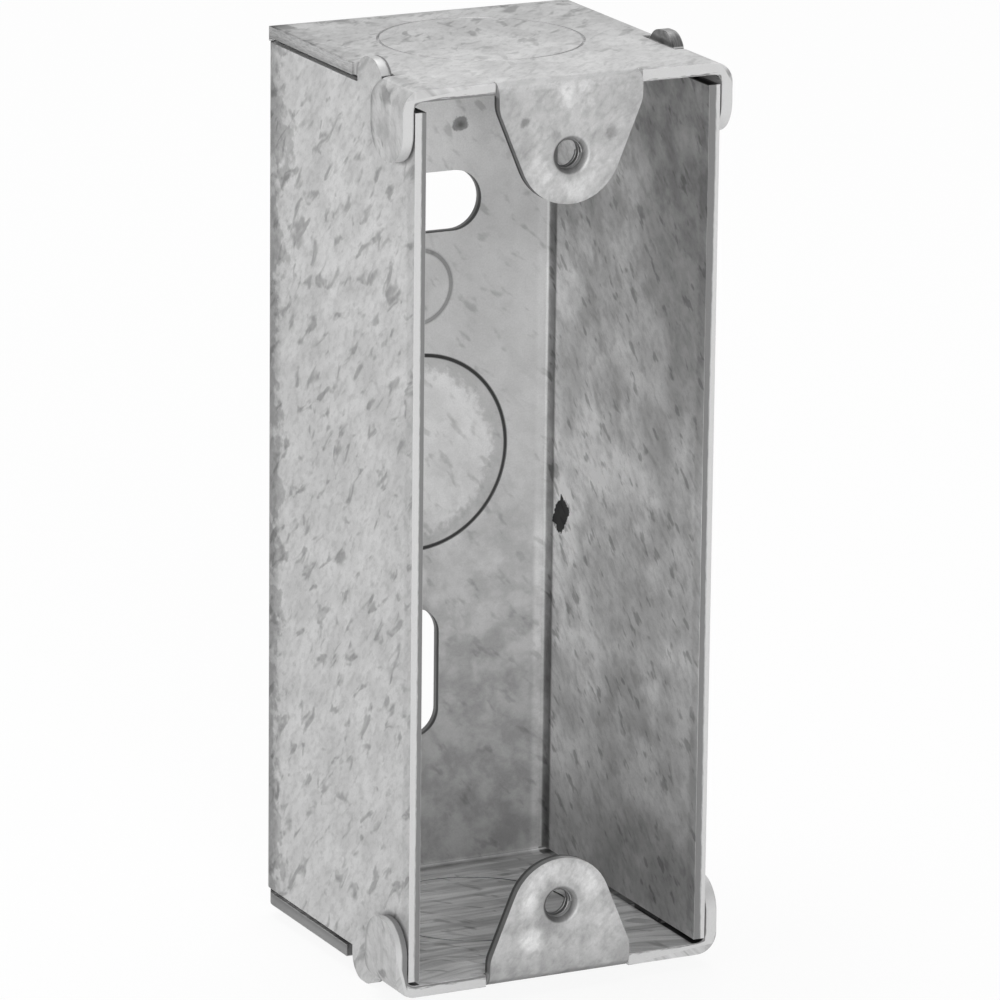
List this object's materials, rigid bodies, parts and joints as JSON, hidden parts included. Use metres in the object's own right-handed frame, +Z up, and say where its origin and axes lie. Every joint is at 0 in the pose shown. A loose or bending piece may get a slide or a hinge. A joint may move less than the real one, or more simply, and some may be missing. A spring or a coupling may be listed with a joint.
{
  "type": "flush back box",
  "caption": "Narrow open-fronted back box folded from galvanised steel sheet, with tapped fixing lugs, lapped corner tabs, conduit knockouts and slotted back.",
  "frame": {"origin": "under the middle of the box, at the height of the tips of the lower wall tongues", "axes": "+Z up along the length of the box, the open front faces -Y, +X to the right as seen from the front"},
  "size_m": [0.0358, 0.035, 0.0942],
  "materials": {
    "galvanised_steel": "hot-dip zinc coat, satin grey with darker mottling; bare sheared edges"
  },
  "bodies": {
    "root": {"back_box": "galvanised_steel"}
  },
  "joints": []
}
